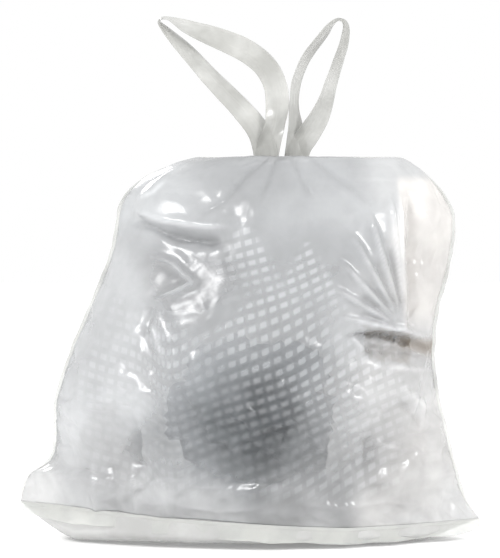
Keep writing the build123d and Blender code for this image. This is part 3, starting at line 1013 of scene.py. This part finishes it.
def painted_shading_attribute(thing):
    """The film's tone as a colour in x, y, z, with painted light and shade in it, and where it clings to the
    contents.
    """
    points = points_of(thing)
    x, z = points[:, 0], points[:, 2]
    # grey and warm carry the painted light and shade of the spots.
    grey, warm = blend_painted_light_and_shade(x, z)
    # Painted light on the loose lobe behind the right edge, which is lit through.
    edge = np.interp(z, [0.27, 0.33, 0.40, 0.45], [0.1915, 0.1925, 0.189, 0.183])
    painted_lobe_light = np.clip((z - 0.258) / 0.035, 0, 1) * np.clip((0.462 - z) / 0.012, 0, 1)
    painted_lobe_light = painted_lobe_light / (1 + np.exp(-(x - edge) / 0.0012))
    grey = grey + (LOBE_PAINTED_LIGHT - grey) * painted_lobe_light
    warm = warm + (0.05 - warm) * painted_lobe_light
    blotches = np.array([soft_noise(p, 13, 8.0) + 0.7 * soft_noise(p, 31, 4.0) + 0.4 * soft_noise(p, 70, 2.0)
                         for p in points])
    smoky = np.exp(-((x - 0.005) ** 2 + (z - 0.165) ** 2) / 0.105 ** 2)
    grey *= 1 + (0.12 + 0.34 * smoky) * blotches * np.clip((0.33 - z) / 0.12, 0.1, 1)
    # Painted highlights along the outward folds and painted shade along the inward ones.
    for line, _, lift in FRONT_FOLDS:
        away, share = distance_to_line(x, z, line)
        crease = np.exp(-(away / 0.0030) ** 2) * np.clip(np.minimum(share, 1 - share) * 3, 0, 1)
        grey += (0.22 if lift > 0 else -0.03) * crease * np.clip((z - 0.06) / 0.04, 0.2, 1)
    # Painted shade in the pinch's pocket; towards its outer end the film is also painted browner.
    away, share = distance_to_line(x, z, POCKET_SHADE_LINE)
    pocket = np.exp(-(away / (0.0022 + 0.0062 * share)) ** 2) * (0.30 + 0.70 * share)
    grey *= 1 - 0.66 * pocket
    grey = np.clip(grey * LIGHT_TRIM, 0, 0.9)
    warm = warm - 0.020 + 0.20 * pocket * np.clip((share - 0.5) / 0.25, 0, 1)
    colour = np.stack([grey * (1 + warm), grey, grey * (1 - warm)], 1)
    store(thing, "tone", "FLOAT_VECTOR", "vector", colour)
    cling = np.zeros(len(x))
    for cx, cz, radius, strength in CLINGS:
        cling = np.maximum(cling, strength * np.exp(-((x - cx) ** 2 + (z - cz) ** 2) / radius ** 2))
    patchy = np.array([ridge_noise((px, 0, pz), 22, 6.0) for px, pz in zip(x, z)])
    cling = np.clip(cling * (0.10 + 1.5 * patchy), 0, 1)
    cling -= 1.5 * np.clip((z - 0.350) / 0.06, 0, 1) + 1.1 * np.clip((0.120 - z) / 0.05, 0, 1)
    store(thing, "cling", "FLOAT", "value", cling)


def paint(thing, material, slot_name, body, *nodes):
    thing.data.materials.clear()
    thing.data.materials.append(material)
    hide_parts(*nodes)
    if body:
        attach(thing, body)


# ---------------------------------------------------------------- assembly

def build_bag():
    embossed = film_material("embossed_film", True)
    plain = film_material("plain_film", False)
    welded = seal_material()
    tape_look = tape_material()
    front = front_panel()
    lozenge_attribute(front)
    painted_shading_attribute(front)
    back = back_panel()
    paint(front, embossed, "film", "bag", "front_panel", "front_neck_gathers")
    paint(back, plain, "film", "bag", "back_panel", "back_neck_gathers")
    paint(bottom_seal(), welded, "seal", "bag", "bottom_seal")
    paint(side_seal(-1, "left_side_weld"), welded, "seal", "bag", "left_side_seal")
    paint(side_seal(1, "right_side_weld"), welded, "seal", "bag", "right_side_seal")
    paint(hem(-1, "front_tape_channel", LEFT_X), plain, "film", "bag", "front_hem")
    paint(hem(1, "back_tape_channel", RIGHT_X), plain, "film", "bag", "back_hem")
    paint(hem_seal(-1, "front_channel_weld"), welded, "seal", "bag", "front_hem_seal")
    paint(hem_seal(1, "back_channel_weld"), welded, "seal", "bag", "back_hem_seal")
    pi = math.pi
    runs = [
        ("front_left_tape_run", 1.10 * pi, 1.36 * pi, "front_tape_left_run"),
        ("front_right_tape_run", 1.50 * pi, 1.90 * pi, "front_tape_right_run"),
        ("back_left_tape_run", 0.90 * pi, 0.50 * pi, "back_tape_left_run"),
        ("back_right_tape_run", 0.36 * pi, 0.10 * pi, "back_tape_right_run"),
        ("left_tape_end_weld", 0.90 * pi, 1.10 * pi, "left_tape_weld"),
        ("right_tape_end_weld", -0.10 * pi, 0.10 * pi, "right_tape_weld"),
    ]
    for name, start, end, node in runs:
        paint(tape_in_hem(name, start, end), tape_look, "tape", "bag", node)
    tapes = [(left_tape(), "left", LEFT_X, -LOOP_Y), (right_tape(), "right", RIGHT_X, LOOP_Y)]
    for thing, side, x, y in tapes:
        paint(thing, tape_look, "tape", None, f"{side}_loop_stem", f"{side}_loop")
        start, end = (x, y, HINGE_FROM_Z), (x, y, HINGE_TO_Z)
        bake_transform(thing)


def build_contents():
    dark = paper_material("dark_paper", (0.030, 0.040, 0.048, 1), (0.11, 0.125, 0.135, 1), 0.55,
                          rim=((0.0, -0.09, 0.160), 0.080, 0.160))
    pale = paper_material("pale_paper", (0.62, 0.60, 0.58, 1), (0.86, 0.84, 0.82, 1), 0.75)
    brown = paper_material("brown_card", (0.15, 0.085, 0.035, 1), (0.34, 0.24, 0.12, 1), 0.7)
    grey = paper_material("grey_card", (0.36, 0.36, 0.35, 1), (0.52, 0.52, 0.50, 1), 0.7)
    wads = [
        ("dark_wad", "dark_bundle", dark, "dark_paper", 2.0, 0.36),
        ("left_wad", "left_paper_wad", pale, "pale_paper", 12.0, 0.22),
        ("right_wad", "right_paper_wad", pale, "pale_paper", 22.0, 0.22),
        ("upper_left_crumple", "upper_left_wad", pale, "pale_paper", 32.0, 0.22),
        ("upper_right_crumple", "upper_right_wad", pale, "pale_paper", 42.0, 0.22),
    ]
    for name, node, material, slot_name, seed, depth in wads:
        low, high = (Vector(corner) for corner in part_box(node))
        thing = bundle(name, (low + high) / 2, (high - low) / 2, seed, depth)
        paint(thing, material, slot_name, "bag", node)
    paint(bent_card("brown_card_scrap", "brown_card", 9.0), brown, "brown_card", "bag", "brown_card")
    paint(crushed_carton("crushed_box", "carton", 17.0), grey, "grey_card", "bag", "carton")


def floor():
    material = Nodes("pale_floor")
    tone = material.spread(material.noise(3.0), 0.2, 0.8, 0.0, 1.0)
    colour = material.blend_colours(tone, (0.90, 0.90, 0.90, 1), (0.94, 0.94, 0.94, 1))
    material.join(colour, material.shader.inputs["Base Color"])
    material.shader.inputs["Roughness"].default_value = 0.9
    material.shader.inputs["Emission Color"].default_value = (1, 1, 1, 1)
    material.shader.inputs["Emission Strength"].default_value = 0.12
    mesh = bpy.data.meshes.new("floor")
    reach = 6.0
    corners = [(-reach, -reach, 0), (reach, -reach, 0), (reach, reach, 0), (-reach, reach, 0)]
    mesh.from_pydata(corners, [], [(0, 1, 2, 3)])
    thing = place_mesh("floor", mesh)
    mesh.materials.append(material.material)


def light(name, place, target, size, power):
    data = bpy.data.lights.new(name, "AREA")
    data.size = size
    data.energy = power
    thing = bpy.data.objects.new(name, data)
    bpy.context.scene.collection.objects.link(thing)
    thing.location = place
    aim = Vector(target) - Vector(place)
    thing.rotation_euler = aim.to_track_quat("-Z", "Y").to_euler()


def studio():
    world = bpy.data.worlds.new("studio")
    world.use_nodes = True
    world.node_tree.nodes["Background"].inputs[0].default_value = (1, 1, 1, 1)
    world.node_tree.nodes["Background"].inputs[1].default_value = 1.0
    bpy.context.scene.world = world
    bpy.context.scene.view_settings.view_transform = "Standard"
    light("key", (-1.2, -1.5, 1.4), (0, 0, 0.25), 0.50, 24)
    light("fill", (1.5, -1.2, 1.1), (0, 0, 0.25), 0.45, 18)
    light("top", (0.1, 0.4, 2.2), (0, 0, 0.3), 1.0, 4)
    light("back", (-0.9, 1.7, 1.3), (0, 0, 0.25), 0.45, 16)


def camera():
    data = bpy.data.cameras.new("camera")
    data.lens = 180
    thing = bpy.data.objects.new("camera", data)
    bpy.context.scene.collection.objects.link(thing)
    target = Vector((0.0, 0.0, 0.329))
    lift = math.radians(3)
    reach = 3.515
    thing.location = target + Vector((0, -math.cos(lift), math.sin(lift))) * reach
    thing.rotation_euler = (target - thing.location).to_track_quat("-Z", "Y").to_euler()
    bpy.context.scene.camera = thing


camera()
studio()
floor()
build_contents()
build_bag()
